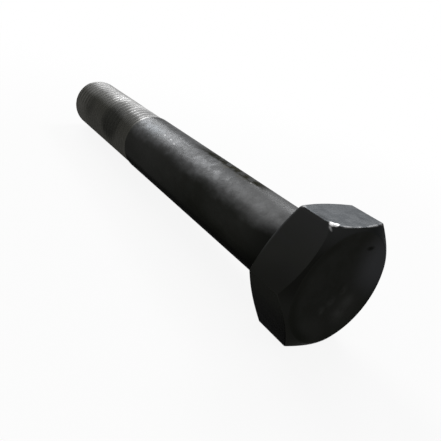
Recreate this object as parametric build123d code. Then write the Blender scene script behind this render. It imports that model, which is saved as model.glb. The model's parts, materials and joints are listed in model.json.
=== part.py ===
from build123d import *

import os
from math import radians, sqrt, tan

# Ring gear bolt: a forged and blackened M30 x 3.5 hexagon head bolt, 200 mm long,
# made from one bar.  It lies on its side, as it would on a bench.
#
# Frame: the axis of the bolt is the X axis and the tip points along +X.
# The origin is the middle of the bearing face, the ring under the head that
# presses on the gear.  Two of the six wrench flats are level, one up and one down.
# Millimetres.

# --- Shank and thread -------------------------------------------------------
bolt_length = 200.0         # bearing face to tip
shank_diameter = 30.2       # plain shank, with its forging scale
thread_diameter = 29.5      # over the crests of the M30 x 3.5 thread
threaded_length = 78.0      # tip to the shoulder, run-out of the thread included
shoulder_angle = 45.0       # slope of the small step down to the thread
tip_chamfer = 2.0           # 45 degree lead that lets a nut start

# --- Head -------------------------------------------------------------------
across_flats = 46.0         # wrench size
head_height = 18.7
top_circle = 43.7           # flat circle left on top by the upper chamfer
top_chamfer_angle = 30.0    # between the upper chamfer and the top
bearing_circle = 42.5       # flat circle left on the bearing side
bearing_chamfer_angle = 20.0
corner_radius = 0.6         # forged rounding of the six upright corners
underhead_radius = 1.2      # fillet between the bearing face and the shank

# --- Worked out from the sizes above ----------------------------------------
across_corners = across_flats * 2 / sqrt(3)
shoulder_step = (shank_diameter - thread_diameter) / 2
shoulder_run = shoulder_step / tan(radians(shoulder_angle))
shoulder_start = bolt_length - threaded_length - shoulder_run
tip_start = bolt_length - tip_chamfer


def spun(*outline):
    """Turn an outline of (distance along the axis, radius) points about the X axis."""
    points = [(along, 0, radius) for along, radius in outline]
    face = make_face(Polyline(*points, close=True))
    return revolve(face, axis=Axis.X, revolution_arc=360)


def chamfer_envelope():
    """The turned shape that cuts the hexagon's corners back to two cones.

    Where the cones meet the flats they leave the curved edges of a forged head.
    """
    outer = across_corners / 2 + 1
    top_depth = (outer - top_circle / 2) * tan(radians(top_chamfer_angle))
    bearing_depth = (outer - bearing_circle / 2) * tan(radians(bearing_chamfer_angle))
    return spun(
        (-head_height, 0),
        (-head_height, top_circle / 2),
        (-head_height + top_depth, outer),
        (-bearing_depth, outer),
        (0, bearing_circle / 2),
        (0, 0),
    )


def hexagon_head():
    """A hexagonal bar end with rounded corners, chamfered on both sides."""
    hexagon = RegularPolygon(radius=across_flats / 2, side_count=6, major_radius=False)
    bar = extrude(Plane.YZ * hexagon, amount=-head_height)
    upright_corners = bar.edges().filter_by(Axis.X)
    return fillet(upright_corners, radius=corner_radius) & chamfer_envelope()


def shank_and_thread_blank():
    """The round length: plain shank, shoulder, and the thread's outer diameter."""
    shank_radius = shank_diameter / 2
    thread_radius = thread_diameter / 2
    return spun(
        (-head_height / 2, 0),
        (-head_height / 2, shank_radius),
        (shoulder_start, shank_radius),
        (shoulder_start + shoulder_run, thread_radius),
        (tip_start, thread_radius),
        (bolt_length, thread_radius - tip_chamfer),
        (bolt_length, 0),
    )


def ring_gear_bolt():
    """Head and shank in one piece, with the fillet that carries the load between them."""
    bolt = hexagon_head() + shank_and_thread_blank()
    under_head = (
        bolt.edges()
        .filter_by(GeomType.CIRCLE)
        .filter_by(lambda edge: abs(edge.radius - shank_diameter / 2) < 1e-3)
        .sort_by(Axis.X)[0]
    )
    return fillet(under_head, radius=underhead_radius)


bolt = ring_gear_bolt()
bolt.label = "bolt"

os.makedirs("parts", exist_ok=True)
export_step(bolt, "parts/bolt.step")
print("bolt", round(bolt.volume), "mm3", bolt.bounding_box())
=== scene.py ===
# %% [markdown]
# # A ring gear bolt
#
# A bolt like this one clamps the ring gear of a heavy drive to its hub. It is a forged
# and blackened hexagon head bolt, M30 x 3.5 and 200 mm long. The imported model gives its
# true size and place, but has a plain cylinder where the real bolt has its thread, and
# no finish. The finish alone could go on that model. A thread needs real grooves and
# wear needs soft edges, so here one new mesh takes the model's place.
#
# First the imported model is loaded, and its box gives some of the sizes.

# %% Load the imported model
import json
import math

import bmesh
import bpy
from mathutils import Matrix, Vector

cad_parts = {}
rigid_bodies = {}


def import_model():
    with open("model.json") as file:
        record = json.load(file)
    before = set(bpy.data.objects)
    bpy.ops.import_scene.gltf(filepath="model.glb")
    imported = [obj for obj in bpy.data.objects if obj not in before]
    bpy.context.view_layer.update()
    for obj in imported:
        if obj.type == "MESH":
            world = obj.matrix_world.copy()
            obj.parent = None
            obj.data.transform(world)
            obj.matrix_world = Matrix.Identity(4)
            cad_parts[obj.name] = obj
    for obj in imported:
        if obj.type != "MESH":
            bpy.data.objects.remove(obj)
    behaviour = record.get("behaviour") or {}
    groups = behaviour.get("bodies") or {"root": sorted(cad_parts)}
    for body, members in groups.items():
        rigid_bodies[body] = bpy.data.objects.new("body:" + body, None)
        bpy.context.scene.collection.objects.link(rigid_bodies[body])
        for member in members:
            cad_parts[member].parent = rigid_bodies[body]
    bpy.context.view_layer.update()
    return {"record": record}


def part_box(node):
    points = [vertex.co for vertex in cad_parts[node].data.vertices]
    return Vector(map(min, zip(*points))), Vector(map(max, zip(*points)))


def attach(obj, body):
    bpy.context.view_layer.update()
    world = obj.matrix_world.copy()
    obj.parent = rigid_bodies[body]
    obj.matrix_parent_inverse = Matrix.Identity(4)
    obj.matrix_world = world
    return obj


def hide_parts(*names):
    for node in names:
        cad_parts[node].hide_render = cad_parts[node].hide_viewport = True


for leftover in list(bpy.data.objects):
    bpy.data.objects.remove(leftover)
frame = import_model()

# %% [markdown]
# ## Sizes
#
# A bolt is known by a few sizes: its wrench size, the length and the diameter of its
# shank and of its thread. They could be typed in again, but then the dressed bolt might
# drift away from the model. So the ends and the wrench size come from the box of the
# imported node, and the shank and the thread from the record's mounts. What the record
# doesn't hold, such as the chamfers, is named here. All lengths are in metres.

# %% Take the sizes from the model
MM = 0.001
low, high = (Vector(end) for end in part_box("bolt"))
mounts = {mount["name"]: mount for mount in frame["record"]["mounts"]}


def pin(name):
    """Radius, start and end of a round length that the record states."""
    mount = mounts[name]
    half = mount["dims"]["length_mm"] * MM / 2
    middle = mount["pos_m"][0]
    return mount["dims"]["r_mm"] * MM, middle - half, middle + half


shank_radius, fillet_end, shoulder_start = pin("shank")
thread_radius, shoulder_end, chamfer_start = pin("thread")
tip = high.x
top = low.x
apothem = high.z
print(f"head {-top / MM:.1f} mm, shank radius {shank_radius / MM:.2f} mm, tip at {tip / MM:.0f} mm")

# %% Name the sizes that the record doesn't hold
top_circle = 21.85 * MM             # radius of the flat circle on top
top_slope = math.tan(math.radians(30))
bearing_circle = 21.25 * MM         # radius of the flat circle on the bearing side
bearing_slope = math.tan(math.radians(20))
corner_radius = 0.6 * MM            # rounding of the upright corners
rim_rounding = 0.3 * MM             # rounding of the edges between flats and chamfers
pitch = 3.5 * MM
nominal_radius = 15 * MM            # the thread is an M30
thread_root = 12.85 * MM            # radius at the bottom of the groove
corner = (apothem - corner_radius) / math.cos(math.radians(30)) + corner_radius
top_rim = top + (corner - top_circle) * top_slope
bearing_rim = -(corner - bearing_circle) * bearing_slope
print(f"{2 * corner / MM:.1f} mm across the corners")

# %% [markdown]
# ## Camera
#
# The bolt is seen from close by, from above the head and to its left, so it shrinks
# quickly towards its tip. A camera can be turned by three angles, but a place and a
# point to look at are easier to read and to change. One held in the hand is seldom
# level, so this one is rolled as well.

# %% Set up the camera
camera_place = Vector((-95.7, 125.9, 68.5)) * MM
camera_aim = Vector((9.2, 34.5, 12.3)) * MM
camera_roll = math.radians(16.46)
camera_lens = 38.45
camera_data = bpy.data.cameras.new("camera")
camera_data.lens = camera_lens
camera_data.sensor_width = 36
camera_data.clip_start = 0.01
camera = bpy.data.objects.new("camera", camera_data)
look = (camera_aim - camera_place).to_track_quat("-Z", "Y").to_matrix().to_4x4()
camera.matrix_world = Matrix.Translation(camera_place) @ look @ Matrix.Rotation(camera_roll, 4, "Z")
bpy.context.scene.collection.objects.link(camera)
bpy.context.scene.camera = camera
print(f"camera {(camera_aim - camera_place).length / MM:.0f} mm from its aim")

# %% [markdown]
# ## The round blank
#
# The forge upsets one end of a hot round bar into a disc, and a die then gives that disc
# six sides. Two cylinders would give the same blank, but each rounded edge would be work
# of its own. So the blank is made as on a lathe. Half its section is a chain of edges, a
# vertex bevel rounds the corners of the chain, and a spin about the axis closes it. The
# long edges are cut first, because the flats and the noise in the steel need points.

# %% Two helpers for a section
def wire(bm, points):
    """A chain of edges through (along the axis, radius) points."""
    verts = [bm.verts.new((along, 0, radius)) for along, radius in points]
    for first, second in zip(verts, verts[1:]):
        bm.edges.new((first, second))
    return verts


def round_off(bm, vert, offset, segments):
    """Replace a corner of the section by an arc."""
    bmesh.ops.bevel(
        bm, geom=[vert], offset=offset, offset_type="OFFSET", segments=segments,
        profile=0.5, affect="VERTICES", material=-1)


# %% Draw the section
bolt = bmesh.new()
section = wire(bolt, [
    (top, 0), (top, top_circle), (top_rim, corner), (bearing_rim, corner), (0, bearing_circle),
    (0, shank_radius), (shoulder_start, shank_radius), (shoulder_end, thread_radius),
])
roundings = {                       # which corner of the chain: offset, segments
    1: (0.5 * MM, 3), 2: (rim_rounding, 4), 3: (rim_rounding, 4),
    4: (0.4 * MM, 3), 5: (fillet_end, 6), 6: (0.1 * MM, 2),
}
for index, (offset, segments) in roundings.items():
    round_off(bolt, section[index], offset, segments)
spacings = ((50, 2), (20, 5), (10, 0.6), (4.5, 0.7))    # edges longer than, cut into, both in mm
for longer_than, spacing in spacings:
    for edge in [edge for edge in bolt.edges if edge.calc_length() > longer_than * MM]:
        bmesh.ops.subdivide_edges(bolt, edges=[edge], cuts=int(edge.calc_length() / spacing / MM))
print("section of", len(bolt.verts), "points")

# %% [markdown]
# ## Marks for the steel
#
# On the real bolt the skin follows the form: edges wear bright, and the top of the head,
# its crown, took other knocks than its sides. The front edge's mark also carries a painted
# highlight. A painted image could say where, but it would need an unwrapped mesh. An
# attribute is one number on each point, which the material reads by name. The marks go on
# the section, and the spin copies them round.

# %% Mark the rim and the crown
rim = bolt.verts.layers.float.new("rim")
crown = bolt.verts.layers.float.new("crown")
for vert in bolt.verts:
    at_rim = min(abs(vert.co.x - top_rim), abs(vert.co.x - bearing_rim)) < rim_rounding
    vert[rim] = float(at_rim and vert.co.z > corner - 0.5 * MM)
    vert[crown] = float(vert.co.x < top_rim - 0.1 * MM)
print(round(sum(vert[rim] for vert in bolt.verts)), "points on the rim")

# %% Spin the section
columns = 120
bmesh.ops.spin(
    bolt, geom=bolt.verts[:] + bolt.edges[:], cent=(0, 0, 0), axis=(1, 0, 0), dvec=(0, 0, 0),
    angle=math.tau, steps=columns, use_merge=True, use_duplicate=False,
)
print("blank of", len(bolt.verts), "points and", len(bolt.faces), "faces")

# %% [markdown]
# ## The thread
#
# The thread is rolled: two dies press a 60 degree groove into the bar, and its crests
# stay flat. A stack of rings would look alike from afar, but a nut needs a true helix,
# and its lines lean. The spin can screw as well as turn, when every small turn also
# moves along by its share of a pitch. So the section is one pitch of groove, turned once,
# and copies of that turn follow it. It starts a pitch before the shoulder and ends past
# the tip, and is cut to length in the next step.

# %% Draw one pitch and screw it along the axis
flank = math.tan(math.radians(30))
crest = pitch / 8 + 2 * (nominal_radius - thread_radius) * flank
sharp_root = thread_radius - (pitch - crest) / 2 / flank
root_radius = thread_root - sharp_root
crest_rounding = 0.08 * MM
start = shoulder_end - pitch
thread = bmesh.new()
form = wire(thread, [
    (start, thread_radius), (start + crest / 2, thread_radius), (start + pitch / 2, sharp_root),
    (start + pitch - crest / 2, thread_radius), (start + pitch, thread_radius),
])
round_off(thread, form[2], root_radius / flank, 5)
round_off(thread, form[1], crest_rounding, 2)
round_off(thread, form[3], crest_rounding, 2)
flanks = [edge for edge in thread.edges if edge.calc_length() > 1 * MM]
bmesh.ops.subdivide_edges(thread, edges=flanks, cuts=3)
bmesh.ops.spin(
    thread, geom=thread.verts[:] + thread.edges[:], cent=(0, 0, 0), axis=(1, 0, 0),
    dvec=(pitch / columns, 0, 0), angle=math.tau, steps=columns,
    use_merge=False, use_duplicate=False,
)
print(f"crests {crest / MM:.2f} mm wide, grooves {(thread_radius - thread_root) / MM:.2f} mm deep")

# %% Repeat the turn
turns = math.ceil((tip - start) / pitch)
one_turn = thread.verts[:] + thread.edges[:] + thread.faces[:]
for turn in range(1, turns):
    copy = bmesh.ops.duplicate(thread, geom=one_turn)["geom"]
    copied = [item for item in copy if isinstance(item, bmesh.types.BMVert)]
    bmesh.ops.translate(thread, verts=copied, vec=(turn * pitch, 0, 0))
print(turns, "turns with", len(thread.faces), "faces in all")

# %% [markdown]
# ## The ends of the thread
#
# Real dies leave the last two grooves shallow by the shoulder, and the tip has a 45
# degree chamfer that starts the nut. Both could be cut with a boolean, which leaves thin
# slivers. Here every point is moved instead: what lies past either end is gathered on the
# circle there, grooves near the shoulder are lifted, and what stands above the chamfer is
# set back onto it. Points that come to lie in one place are merged in the next step.

# %% Fit the thread between the shoulder and the tip
run_out = 2 * pitch


def set_radius(vert, radius):
    """Move a point square to the axis, to a distance from it."""
    scale = radius / math.hypot(vert.co.y, vert.co.z)
    vert.co.y *= scale
    vert.co.z *= scale


def share_of(value, first, last):
    """How far a value lies between two others, from 0 to 1."""
    return min(max((value - first) / (last - first), 0), 1)


def ease(share):
    """A share from 0 to 1 that starts and ends gently."""
    return share * share * (3 - 2 * share)


def crest_height(along):
    """Radius of the crests, which the chamfer at the tip cuts down."""
    return thread_radius - max(along - chamfer_start, 0)


for vert in thread.verts:
    share = share_of(vert.co.x, shoulder_end, shoulder_end + run_out)
    depth = (thread_radius - math.hypot(vert.co.y, vert.co.z)) * ease(share)
    vert.co.x = min(max(vert.co.x, shoulder_end), tip)
    set_radius(vert, min(thread_radius - depth, crest_height(vert.co.x)))
thread_mesh = bpy.data.meshes.new("thread")
thread.to_mesh(thread_mesh)
thread.free()
print(f"thread from {shoulder_end / MM:.0f} to {tip / MM:.0f} mm")

# %% [markdown]
# ## One piece
#
# A bolt is one piece of steel, so its mesh is one closed skin. Blank and thread could
# lie against each other as two meshes, but a seam would show as a hairline and the
# volume would be wrong. Both have the same number of columns, so their points meet at
# the shoulder once small rounding errors are taken out: each point is set on the nearest
# column, and points in one place are merged. The open rim at the tip is then filled, and
# poked to a fan, because a face with 120 corners shades badly.

# %% Weld the thread to the blank and close the tip
bolt.from_mesh(thread_mesh)
bpy.data.meshes.remove(thread_mesh)
column_step = math.tau / columns
same_place = 0.01 * MM
for vert in bolt.verts:
    radius = math.hypot(vert.co.y, vert.co.z)
    if radius > 0:
        angle = round(math.atan2(vert.co.y, vert.co.z) / column_step) * column_step
        vert.co.y = radius * math.sin(angle)
        vert.co.z = radius * math.cos(angle)
bmesh.ops.remove_doubles(bolt, verts=bolt.verts[:], dist=same_place)
tip_edges = [edge for edge in bolt.edges if edge.is_boundary]
cap = bmesh.ops.contextual_create(bolt, geom=tip_edges)["faces"]
bmesh.ops.poke(bolt, faces=cap)
print(len(tip_edges), "edges at the tip,", sum(not edge.is_manifold for edge in bolt.edges), "left open")

# %% [markdown]
# ## The depth of the grooves
#
# The flanks of the thread are painted paler than its crests: painted light that lifts them
# out of the shade in the grooves. The material can't tell them apart by place, because a
# helix is at every place. So this third mark says how deep in a groove a point lies: 0 on
# a crest and 1 at a root.

# %% Note how deep in a groove each point lies
groove = bolt.verts.layers.float.new("groove")
for vert in bolt.verts:
    if shoulder_end < vert.co.x < tip - 0.1 * MM:
        depth = crest_height(vert.co.x) - math.hypot(vert.co.y, vert.co.z)
        vert[groove] = share_of(depth, 0, thread_radius - thread_root)
print(sum(vert[groove] > 0.5 for vert in bolt.verts), "points low in a groove")

# %% [markdown]
# ## The hexagon
#
# The die presses six flats into the disc. Where a flat meets the cones of the two
# chamfers, the edge is a hyperbola, and that row of arches is what makes a head look
# real. A hexagonal prism cut by cones with a boolean has them too, but its edges still
# need rounding, which is hard to keep even where three of them meet. Pressing keeps the
# lathe's rounded edges: each point of the disc moves in to the hexagon and, by the slope
# of its chamfer, along the axis. Columns first crowd towards the corners, where the form
# bends most. One corner has a larger radius, because a wrench has rounded it.

# %% Find the hexagon's radius
worn_corner = 1                     # the sector of the corner that a wrench has rounded
worn_radius = 2.2 * MM


def hexagon_radius(turn, rounding):
    """Distance from the axis to a rounded hexagon, by the angle from a corner."""
    turn = abs(turn)
    centre = (apothem - rounding) / math.cos(math.radians(30))
    arc_end = math.atan2(rounding / 2, centre + rounding * math.cos(math.radians(30)))
    if turn < arc_end:
        return centre * math.cos(turn) + math.sqrt(rounding ** 2 - (centre * math.sin(turn)) ** 2)
    return apothem / math.cos(math.radians(30) - turn)


print(f"corners at {hexagon_radius(0, corner_radius) / MM:.2f} mm, "
      f"the worn one at {hexagon_radius(0, worn_radius) / MM:.2f} mm")

# %% Press the six flats
crowding = 0.88                     # 0 keeps the columns even, 1 lets them meet at the corners
sector = math.radians(60)
for vert in bolt.verts:
    radius = math.hypot(vert.co.y, vert.co.z)
    if radius == 0:
        continue
    angle = math.atan2(vert.co.y, vert.co.z) + sector / 2
    number = round(angle / sector)
    turn = angle - number * sector
    turn -= crowding * math.sin(6 * turn) / 6
    if vert.co.x < 0 and radius > bearing_circle:
        down = share_of(vert.co.x, top_rim, bearing_rim)
        circle = top_circle if down < 0.5 else bearing_circle
        out = share_of(radius, circle, corner)
        rounding = worn_radius if number == worn_corner else corner_radius
        pressed = corner - hexagon_radius(turn, rounding)
        radius -= out * pressed
        vert.co.x += out * pressed * (down * bearing_slope - (1 - down) * top_slope)
    angle = number * sector + turn - sector / 2
    vert.co.y = radius * math.sin(angle)
    vert.co.z = radius * math.cos(angle)
print(f"measured {2 * max(vert.co.y for vert in bolt.verts) / MM:.1f} mm across two corners")

# %% [markdown]
# ## The knocked corner
#
# A dropped bolt lands on a corner, and the steel there is pushed in by a millimetre or
# two. Sculpting would do it, but can't be repeated. A push that fades out with distance
# is the same tool in three lines, and its place, reach and depth stay numbers.

# %% Knock the worn corner
knock = Vector((-16.3, 12.8, 23)) * MM
knock_reach = 4 * MM
knock_push = Vector((1.5, -0.9, -0.3)) * MM
knocked = [vert for vert in bolt.verts if (vert.co - knock).length < knock_reach]
for vert in knocked:
    near = 1 - (vert.co - knock).length / knock_reach
    vert.co += knock_push * ease(near)
bmesh.ops.recalc_face_normals(bolt, faces=bolt.faces[:])
print(len(knocked), "points pushed in,", round(bolt.calc_volume(signed=True) / MM ** 3), "mm3 in all")

# %% [markdown]
# ## The object
#
# The finished mesh becomes one object at the origin. Its faces shade smoothly, and the
# Weighted Normal modifier then makes the large flats shade flat and leaves the bend to
# the narrow rounded edges. Sharp marks would be the other way, but forged edges aren't
# sharp. Faces past the shoulder get the second material, the steel of the thread.

# %% Make the object
for face in bolt.faces:
    face.smooth = True
    face.material_index = int(face.calc_center_median().x > shoulder_start)
mesh = bpy.data.meshes.new("forged_bolt")
bolt.to_mesh(mesh)
bolt.free()
forged_bolt = bpy.data.objects.new("forged_bolt", mesh)
bpy.context.scene.collection.objects.link(forged_bolt)
weighted = forged_bolt.modifiers.new("flats shade flat", "WEIGHTED_NORMAL")
weighted.weight = 100
print("bolt of", len(mesh.vertices), "points and", len(mesh.polygons), "faces")

# %% [markdown]
# ## Shader maths
#
# The skin of the bolt is a sum of many soft patches, and a tree of nodes for it can be
# drawn by hand or added one call at a time. Both hide the sums. Here a small class wraps
# a socket, so that the patches are written as sums and products, and each expression
# adds its own nodes. Places are in millimetres, which suits an object of this size.

# %% Wrap a socket
class Value:
    """A socket in a node tree that takes part in Python expressions."""

    def __init__(self, shader, socket):
        self.shader = shader
        self.socket = socket

    def math(self, operation, other):
        """One operation of a Math node with a number or another value."""
        return self.shader.node("ShaderNodeMath", {0: self, 1: other}, operation=operation)

    def __add__(self, other):
        return self.math("ADD", other)

    def __sub__(self, other):
        return self.math("SUBTRACT", other)

    def __rsub__(self, other):
        return self.shader.node("ShaderNodeMath", {0: other, 1: self}, operation="SUBTRACT")

    def __mul__(self, other):
        return self.math("MULTIPLY", other)

    __radd__ = __add__
    __rmul__ = __mul__

    def vector(self, operation, other=(0, 0, 0), output=0):
        """Vector maths with another vector."""
        return self.shader.node(
            "ShaderNodeVectorMath", {0: self, 1: other}, output=output, operation=operation)

    def axis(self, name):
        """One coordinate of a place."""
        return self.shader.node("ShaderNodeSeparateXYZ", {0: self}, output=name)

    def from_axis(self):
        """How far a place is from the bolt's axis."""
        return self.vector("MULTIPLY", (0, 1, 1)).vector("LENGTH", output="Value")

    def step(self, low_end, high_end):
        """0 at the low end, 1 at the high end, smooth between them and level beyond."""
        return self.shader.node(
            "ShaderNodeMapRange", {"Value": self, "From Min": low_end, "From Max": high_end},
            interpolation_type="SMOOTHSTEP")

    def spot(self, centre, inner, outer, squeeze=(1, 1, 1)):
        """1 within a distance of a point and 0 beyond another. A squeeze over 1 narrows it."""
        gap = self.vector("SUBTRACT", centre).vector("MULTIPLY", squeeze)
        return gap.vector("LENGTH", output="Value").step(outer, inner)


# %% Wrap a tree
class Shader:
    """A material or a world whose nodes are made one expression at a time."""

    def __init__(self, tree):
        self.tree = tree
        tree.nodes.clear()

    def node(self, kind, values=None, output=0, **settings):
        """Add a node: its settings first, then the values or links of its sockets."""
        node = self.tree.nodes.new(kind)
        for name, setting in settings.items():
            setattr(node, name, setting)
        for name, value in (values or {}).items():
            if isinstance(value, Value):
                self.tree.links.new(value.socket, node.inputs[name])
            else:
                node.inputs[name].default_value = value
        return Value(self, node.outputs[output]) if node.outputs else None

    def place(self):
        """Where a point lies on the object, in millimetres."""
        per_mm = 1 / MM
        place = self.node("ShaderNodeTexCoord", output="Object")
        return place.vector("MULTIPLY", (per_mm, per_mm, per_mm))

    def mark(self, name):
        """An attribute of the mesh."""
        return self.node("ShaderNodeAttribute", attribute_name=name, output="Fac")

    def mix(self, factor, first, second):
        """The first colour where the factor is 0, and the second where it is 1."""
        colours = {"Factor": factor, 6: first, 7: second}
        return self.node("ShaderNodeMix", colours, output=2, data_type="RGBA")

    def noise(self, place, size, detail=2, roughness=0.5):
        """Noise with patches of about the given size."""
        return self.node("ShaderNodeTexNoise", {
            "Vector": place, "Scale": 1 / size, "Detail": detail, "Roughness": roughness})


def grey(level):
    """A neutral colour of one level."""
    return (level, level, level, 1)


# %% [markdown]
# ## The black skin of the head
#
# Forging leaves a thin black oxide on the steel, and oil darkens it. Such a skin still
# reflects like metal, only 1 or 2 per cent of the light, so it could be a glossy black
# paint or a very dark metal. Paint would turn white at a slant, under the pale room. The
# metal here keeps dark there as well, so its base colour does all the drawing: bluish
# clouds, dull spots, and also painted light. The flats get painted shade towards the floor
# and by the lower front corner, and the flat on top a painted sheen in a paler colour.

# %% Colour of the flats
def flats_with_painted_light(shader, place, cloud, patch):
    """Six sides: painted shade below, a worn rear edge with a painted highlight, a painted sheen on top.
    """
    along, up = place.axis("X"), place.axis("Z")
    out = place.from_axis()
    # Painted shade: the sides are darker towards the floor and paler higher up.
    skin = shader.mix(up.step(-4, 9), (0.0085, 0.0088, 0.0078, 1), (0.0137, 0.014, 0.0128, 1))
    skin = shader.mix(up.step(11, 22), skin, (0.0165, 0.0168, 0.0165, 1))
    skin = shader.mix(cloud.step(0.5, 0.7) * 0.6, skin, (0.0148, 0.0148, 0.0155, 1))
    # Painted shade by the lower front corner.
    skin = shader.mix(place.spot((-15, 25, 1), 1, 14), skin, (0.0095, 0.0097, 0.0087, 1))
    # A worn rear edge, with a painted highlight on its upper part.
    before_edge = along + bearing_slope * (out - bearing_circle / MM)
    edge = 0.7 * before_edge.step(-0.9, -0.2) * up.step(3, 14)
    skin = shader.mix(edge, skin, (0.04, 0.041, 0.042, 1))
    # Painted shade: the flats that face the floor are darker, darkest at the bottom.
    below = shader.mix(up.step(-22, 0), (0.0016, 0.0016, 0.0015, 1), (0.0152, 0.0156, 0.014, 1))
    skin = shader.mix(up.step(-0.3, 0.3), below, skin)
    # Painted sheen on the flat on top, with a few dull spots in it.
    top_sheen = shader.mix(patch.step(0.3, 0.7), (0.08, 0.085, 0.09, 1), (0.1, 0.105, 0.11, 1))
    dull = 0.8 * place.spot((-10.5, 13, 23), 0.5, 4.5) + 0.3 * place.spot((-12.3, -6, 23), 0.3, 1.8)
    top_sheen = shader.mix(dull, top_sheen, (0.04, 0.042, 0.044, 1))
    return shader.mix(up.step(apothem / MM - 0.15, apothem / MM - 0.01), skin, top_sheen)


# %% [markdown]
# ## The face of the head
#
# The top of the head is a flat circle inside a narrow chamfer. It took the light smears
# of handling, one dark stain, and a paler right side. The chamfer and the left rim of the
# circle carry painted shade, and the chamfer painted light on its right. A single noise
# could spread such marks at random, but the eye knows them by their places. So each is a
# soft spot with a place and a reach, and only the smears break up with the noise.

# %% Colour of the face
face_at = top / MM
pale_spots = (                      # y, z, inner and outer reach in mm, and the colour there
    (-19, 10, 4, 20, (0.031, 0.0315, 0.033, 1)),
    (-8, -9, 3, 12, (0.0185, 0.0187, 0.0175, 1)),
    (8, -18, 4, 12, (0.0175, 0.0177, 0.0165, 1)),
)
smears = ((5.5, -7.8, 2.6), (2, -4.4, 2.8), (-2.5, -0.4, 2.8), (-7.5, -6, 5), (-5, -11, 5))


def face_skin(shader, place, patch):
    """The flat circle: nearly even, with paler spots, smears, a stain and painted shade on the left rim.
    """
    across, up = place.axis("Y"), place.axis("Z")
    out = place.from_axis()
    skin = shader.mix(patch.step(0.3, 0.7), (0.0138, 0.0141, 0.0128, 1), (0.0155, 0.0158, 0.0146, 1))
    for y, z, inner, outer, colour in pale_spots:
        skin = shader.mix(place.spot((face_at, y, z), inner, outer), skin, colour)
    # Painted shade along the left rim, next to the chamfer.
    left = across.step(0, 12) * up.step(22, 16) * out.step(17, 20.5)
    skin = shader.mix(left, skin, (0.0115, 0.0118, 0.0105, 1))
    for y, z, reach in smears:
        smear = place.spot((face_at, y, z), 0, reach) * patch.step(0.25, 0.6)
        skin = shader.mix(smear, skin, (0.0255, 0.0258, 0.0245, 1))
    stain = place.spot((face_at, -7.6, 15.2), 0.4, 2, (1, 0.7, 1.6))
    return shader.mix(stain, skin, (0.0105, 0.0107, 0.01, 1))


def chamfer_painted_shade(shader, place):
    """Painted shade and light on the chamfer: darkest at mid height, and pale on the right."""
    across, up = place.axis("Y"), place.axis("Z")
    skin = shader.mix(up.step(12, 23), (0.0062, 0.0063, 0.0055, 1), (0.0145, 0.015, 0.0148, 1))
    skin = shader.mix(up.step(4, -5), skin, (0.0105, 0.0107, 0.0097, 1))
    skin = shader.mix(up.step(-8, -22), skin, (0.0185, 0.0185, 0.0172, 1))
    return shader.mix(across.step(-14, -4), (0.02, 0.021, 0.022, 1), skin)


# %% Put the head's skin together
def head_skin(shader, place, cloud, patch):
    """The face, its chamfer from just inside their edge outwards, and the flats."""
    out = place.from_axis()
    edge = out.step(top_circle / MM - 0.55, top_circle / MM + 0.15)
    crown_skin = shader.mix(edge, face_skin(shader, place, patch), chamfer_painted_shade(shader, place))
    return shader.mix(shader.mark("crown"), flats_with_painted_light(shader, place, cloud, patch), crown_skin)


# %% [markdown]
# ## The skin of the shank
#
# The shank gets a painted sheen along the top: a paler grey with bright flecks on it, and a
# painted highlight at the end by the shoulder. Below, it is nearly as black as the head,
# with painted shade under the head and towards the floor. One strip towards the back kept
# its old scale, with a little rust in it. Two whole materials could be mixed by a mask, but
# only the colour differs. So one colour is mixed from a lower and an upper one, by a height
# that the noise makes uneven.

# %% Colour of the shank below
def lower_skin_and_shade(shader, place, cloud):
    """Black, paler in the far half, with painted shade under the head and towards the floor."""
    along, up = place.axis("X"), place.axis("Z")
    clouded = cloud.step(0.3, 0.7) * 0.5
    skin = shader.mix(clouded, (0.0115, 0.0118, 0.0103, 1), (0.0175, 0.018, 0.0165, 1))
    skin = shader.mix(along.step(48, 100) * (0.6 + 0.6 * cloud), skin, (0.0235, 0.0238, 0.0225, 1))
    # Painted shade under the head.
    skin = shader.mix(along.step(22, 5), skin, (0.0065, 0.0068, 0.006, 1))
    # Painted shade towards the floor.
    return shader.mix(up.step(-5, -8.5), skin, (0.0062, 0.0063, 0.0058, 1))


# %% Colour of the shank above
def upper_skin_and_sheen(shader, place, cloud, patch):
    """Painted sheen in grey with brighter flecks, a painted highlight by the shoulder, the scale strip
    and rust.
    """
    along, across, up = place.axis("X"), place.axis("Y"), place.axis("Z")
    blotch = 0.6 * cloud + 0.4 * patch
    # Painted sheen: the top of the shank is a paler grey, in blotches.
    skin = shader.mix(blotch.step(0.36, 0.64), (0.068, 0.069, 0.07, 1), (0.108, 0.11, 0.113, 1))
    # Painted sheen, paler towards the head.
    skin = shader.mix(0.7 * along.step(48, 24), skin, (0.108, 0.109, 0.11, 1))
    flecks = place.spot((52, 6.6, 13.5), 6, 18, (1, 2.4, 2.4))
    flecks = flecks + 0.35 * place.spot((87, 8.4, 12.5), 2, 8, (0.8, 2, 2))
    flecks = flecks * (0.2 + 0.5 * patch.step(0.48, 0.62))
    skin = shader.mix(flecks, skin, (0.15, 0.153, 0.157, 1))
    # A painted highlight at the end by the shoulder.
    shoulder_highlight = place.spot((108, 8.6, 12.4), 3, 16, (1, 3, 3)) * patch.step(0.2, 0.7)
    skin = shader.mix(shoulder_highlight, skin, (0.13, 0.136, 0.143, 1))
    strip = (across + 4 * patch).step(5, 3) * up.step(9, 12) * along.step(84, 66) * along.step(24, 34)
    strip = strip * (0.4 + 0.6 * patch.step(0.38, 0.5))
    skin = shader.mix(strip, skin, (0.017, 0.017, 0.0135, 1))
    rust = place.spot((46, 2, 15), 1, 6, (0.4, 1, 1)) * patch.step(0.45, 0.6)
    return shader.mix(rust * 0.6, skin, (0.045, 0.04, 0.026, 1))


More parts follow.
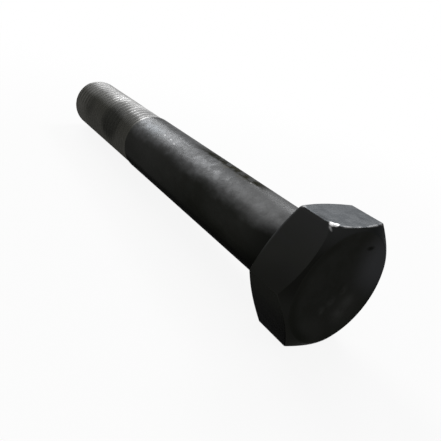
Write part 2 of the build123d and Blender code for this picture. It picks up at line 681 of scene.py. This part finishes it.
# %% Put the shank's skin together
def shank_sheen_and_shade(shader, place, cloud, patch):
    """Painted shade below and painted sheen above, joined along an uneven line that drops by the head.
    """
    by_head = place.axis("X").step(22, 5)
    height = place.axis("Z") + 5 * (cloud - 0.5) + 2 * (patch - 0.5) - 2 * by_head
    below, above = lower_skin_and_shade(shader, place, cloud), upper_skin_and_sheen(shader, place, cloud, patch)
    return shader.mix(height.step(5, 13.7), below, above)


# %% [markdown]
# ## Bare places
#
# Where the skin is gone, clean steel shows: on the knocked corner, beside it along the
# front edge, and at the far end of that flat. The line along the front edge is partly
# wear and partly a painted highlight, and a few bright specks of the same steel sit on the
# shank. A bevel node could find every edge, but this bolt wore on one side only. The
# spots here give a bare share from 0 to 1, and the rim mark keeps the front edge's line on
# the edge.

# %% Find the bare places
bright_specks = ((96.9, 7.7, 13), (90.6, 7.8, 12.9), (85.8, 8.7, 12.3), (35, 2.2, 14.9))


def bare(shader, place, patch, grain):
    """How much steel shows, from 0 to 1."""
    chip = place.spot((-14.4, 11.4, 22.8), 0.6, 1.2)
    chip = chip + place.spot((-15.3, 10.2, 22.8), 0.5, 1, (1, 0.7, 1.2))
    streak = place.spot((-15.5, 12.6, 21.7), 0.3, 1.1, (1, 1.6, 0.7))
    # The front edge: partly wear, partly a painted highlight.
    edge = shader.mark("rim") * place.spot((-17, 0, 23), 12.5, 14) * patch.step(0.4, 0.6)
    far_corner = place.spot((-2.4, 12.2, 22.9), 0.5, 1.3)
    share = chip * (0.5 + grain) + 0.25 * (streak + edge + far_corner)
    for pit in bright_specks:
        share = share + 0.3 * place.spot(pit, 0.2, 0.7)
    return share.math("MINIMUM", 1)


# %% [markdown]
# ## The blackened steel
#
# One material holds the head, the shank and the bare places. Three noises of different
# grain draw it: clouds stretched along the bolt, patches, and fine grain. They also
# raise the surface by about a tenth of a millimetre, as scale does, more on the shank
# than on the head. That is too fine for geometry, so it is a bump. The low Specular Tint
# keeps the black skin dark at a slant. The underside of the shank is duller than the
# rest, because nothing has rubbed it smooth.

# %% Make the blackened steel
black_material = bpy.data.materials.new("blackened_steel")
black_material.use_nodes = True
black = Shader(black_material.node_tree)
black_place = black.place()
black_cloud = black.noise(black_place.vector("MULTIPLY", (0.5, 1, 1)), 9, detail=4, roughness=0.6)
black_patch = black.noise(black_place, 3.5, detail=3)
black_grain = black.noise(black_place, 0.7)
on_shank = black_place.axis("X").step(-1, 4)
unrubbed = on_shank * black_place.axis("Z").step(-2, -6.5)
skin_of_head = head_skin(black, black_place, black_cloud, black_patch)
skin_of_shank = shank_sheen_and_shade(black, black_place, black_cloud, black_patch)
black_skin = black.mix(on_shank, skin_of_head, skin_of_shank)
scale_height = (0.3 * black_grain + 2 * black_patch + 6 * black_cloud) * (0.2 + 0.8 * on_shank)
black.node("ShaderNodeOutputMaterial", {"Surface": black.node("ShaderNodeBsdfPrincipled", {
    "Base Color": black.mix(bare(black, black_place, black_patch, black_grain), black_skin, grey(0.5)),
    "Metallic": 1.0,
    "Roughness": (0.36 + 0.12 * black_patch) * (1 + 0.8 * unrubbed),
    "Specular Tint": grey(0.43),
    "Normal": black.node("ShaderNodeBump", {
        "Strength": 0.5, "Distance": 0.1 * MM, "Height": scale_height}),
})})
mesh.materials.append(black_material)
print(black_material.name, "has", len(black.tree.nodes), "nodes")

# %% [markdown]
# ## The steel of the thread
#
# The thread was rolled after the bolt was blackened, so it is bare steel under a film of
# oil: a painted sheen on top with a painted highlight, painted shade below, a little paler
# by the tip, and darker where it was handled. It could be one grey metal, but then crests
# and flanks would catch the light very differently, and the lines would be harsher than
# on oily steel. So the groove mark gives crests and flanks a colour each, and the flanks
# are painted paler against the shade in the grooves. They differ least on top of the turns
# by the shoulder, where the crests take most of the painted sheen.

# %% Make the steel of the thread
thread_material = bpy.data.materials.new("thread_steel")
thread_material.use_nodes = True
steel = Shader(thread_material.node_tree)
place = steel.place()
along = place.axis("X")
cloud = steel.noise(place, 12, detail=3)
height = place.axis("Z") + 3 * (cloud - 0.5) + 1.2 * along.step(145, 122)
# Painted sheen on the top of the turns, along an uneven height.
top_sheen = 0.25 * height.step(7.5, 13) + 0.75 * height.step(11.9, 14.9)
# Painted shade on the lower side.
below = place.axis("Z").step(6, -3)
handled = place.spot((146, 14, 4), 7, 14) + 0.5 * place.spot((178, 14, 4), 3, 9)
by_shoulder = steel.mix(height.step(13.5, 15.8), grey(0.6), grey(0.36))
sheen_steel = steel.mix(along.step(132, 155), by_shoulder, grey(0.88))
# A painted highlight on top of the thread.
bright = place.spot((158, 3, 14.4), 2, 9)
sheen_steel = steel.mix(bright, sheen_steel, grey(0.98))
crests = steel.mix(below, (0.042, 0.0415, 0.036, 1), (0.062, 0.061, 0.0545, 1))
crests = steel.mix(below * along.step(178, 192), crests, (0.1, 0.098, 0.09, 1))
crests = steel.mix(handled, crests, (0.029, 0.029, 0.026, 1))
# Crests take most of the painted sheen on top by the shoulder.
sheen_share = 0.42 + 0.43 * height.step(11.5, 14)
sheen_share = sheen_share + along.step(140, 152) * (0.35 - sheen_share)
crests = steel.mix(top_sheen * sheen_share, crests, sheen_steel)
# The flanks are painted paler than the crests, against the shade in the grooves.
sides = steel.mix(below, (0.06, 0.059, 0.052, 1), (0.085, 0.084, 0.076, 1))
sides = steel.mix(handled, sides, (0.037, 0.037, 0.033, 1))
sides = steel.mix(along.step(176, 190), sides, (0.1, 0.098, 0.09, 1))
sides = steel.mix(top_sheen, sides, sheen_steel)
steel.node("ShaderNodeOutputMaterial", {"Surface": steel.node("ShaderNodeBsdfPrincipled", {
    "Base Color": steel.mix(steel.mark("groove").step(0, 0.3), crests, sides),
    "Metallic": 1.0,
    "Roughness": 0.58 + 0.1 * cloud + 0.15 * below - 0.2 * bright,
    "Specular Tint": grey(0.49),
})})
mesh.materials.append(thread_material)
print(thread_material.name, "has", len(steel.tree.nodes), "nodes")

# %% [markdown]
# ## Floor
#
# A loose bolt lies on the edge of its head and on the end of its thread, so its axis
# leans a little. The bolt keeps its place along the X axis here, and the floor leans
# under it instead. The floor is white paper that fills the view. Bright lamps could burn
# any paper out to white, but they would burn the bolt as well. So eyes and reflections
# mostly see a plain white, and the rest is lit paper, which keeps the bolt's shadow.

# %% Lay the floor
lean = math.atan2(apothem - thread_radius, chamfer_start + (apothem - bearing_circle) * bearing_slope)
floor_bm = bmesh.new()
bmesh.ops.create_grid(floor_bm, x_segments=1, y_segments=1, size=4)
floor_mesh = bpy.data.meshes.new("floor")
floor_bm.to_mesh(floor_mesh)
floor_bm.free()
floor = bpy.data.objects.new("floor", floor_mesh)
bpy.context.scene.collection.objects.link(floor)
floor.matrix_world = Matrix.Translation((0, 0, -apothem)) @ Matrix.Rotation(-lean, 4, "Y")
print(f"the floor leans by {math.degrees(lean):.2f} degrees")


# %% Make it white
def seen(shader):
    """1 where the camera or a reflection looks, 0 for light on its way round the room."""
    camera_ray = shader.node("ShaderNodeLightPath", output="Is Camera Ray")
    glossy = shader.node("ShaderNodeLightPath", output="Is Glossy Ray")
    through = shader.node("ShaderNodeLightPath", output="Is Transmission Ray")
    return camera_ray.math("MAXIMUM", glossy).math("MAXIMUM", through)


floor_material = bpy.data.materials.new("white_paper")
floor_material.use_nodes = True
paper = Shader(floor_material.node_tree)
distance = paper.place().vector("LENGTH", output="Value")
plain_share = seen(paper) * (0.9 + 0.1 * distance.step(150, 500))
lit = paper.node("ShaderNodeBsdfDiffuse", {"Color": grey(0.9)})
plain = paper.node("ShaderNodeEmission", {"Color": grey(1), "Strength": 1.0})
paper.node("ShaderNodeOutputMaterial", {
    "Surface": paper.node("ShaderNodeMixShader", {0: plain_share, 1: lit, 2: plain})})
floor_mesh.materials.append(floor_material)
print(floor_material.name, "has", len(paper.tree.nodes), "nodes")

# %% [markdown]
# ## Room
#
# The world stands for a white room. It is seen and mirrored as plain white. As a light
# it is only the soft fill that reaches every side, at a third of that, because the rest
# comes from the lamps.

# %% Fill the room
room_light = 0.35
world = bpy.data.worlds.new("white_room")
world.use_nodes = True
bpy.context.scene.world = world
room = Shader(world.node_tree)
room.node("ShaderNodeOutputWorld", {"Surface": room.node("ShaderNodeBackground", {
    "Color": grey(1), "Strength": room_light + (1 - room_light) * seen(room)})})
print("room light", room_light)

# %% [markdown]
# ## Lamps
#
# Metal shows its lamps, so they are placed where the bolt should shine. One broad window
# beyond the tip draws the long light along the top of the shank, and a narrow one at the
# side draws the flat on top of the head. Each is an area lamp. It could be given in
# metres and watts, but from the bolt only its direction, its apparent size and its
# brightness count, so those are what the helper takes.

# %% Hang two soft lamps
middle = Vector((80 * MM, 0, 0))
lamp_distance = 3


def soft_lamp(name, azimuth, elevation, width, height, brightness):
    """A soft box that looks at the bolt. Place and size are in degrees, as seen from the bolt."""
    azimuth, elevation = math.radians(azimuth), math.radians(elevation)
    data = bpy.data.lights.new(name, "AREA")
    data.shape = "RECTANGLE"
    data.size = 2 * lamp_distance * math.tan(math.radians(width) / 2)
    data.size_y = 2 * lamp_distance * math.tan(math.radians(height) / 2)
    data.energy = brightness * math.pi * data.size * data.size_y
    level = math.cos(elevation)
    away = Vector((math.cos(azimuth) * level, math.sin(azimuth) * level, math.sin(elevation)))
    facing = away.to_track_quat("Z", "Y").to_matrix().to_4x4()
    lamp = bpy.data.objects.new(name, data)
    lamp.matrix_world = Matrix.Translation(middle + away * lamp_distance) @ facing
    lamp.visible_camera = False
    bpy.context.scene.collection.objects.link(lamp)
    print(f"{name}: {data.size:.2f} x {data.size_y:.2f} m, {data.energy:.0f} W")


soft_lamp("window", -9.2, 22.6, 24.5, 13.7, 24)
soft_lamp("side_window", -58.5, 40, 26, 9, 15)

# %% [markdown]
# ## Stand-in
#
# Last, the new mesh stands in for the imported model: it replaces that node and moves with
# the same body. Colours are shown as they are, with the Standard view.

# %% Put the bolt in the model's place
bpy.context.scene.view_settings.view_transform = "Standard"
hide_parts("bolt")
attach(forged_bolt, "root")
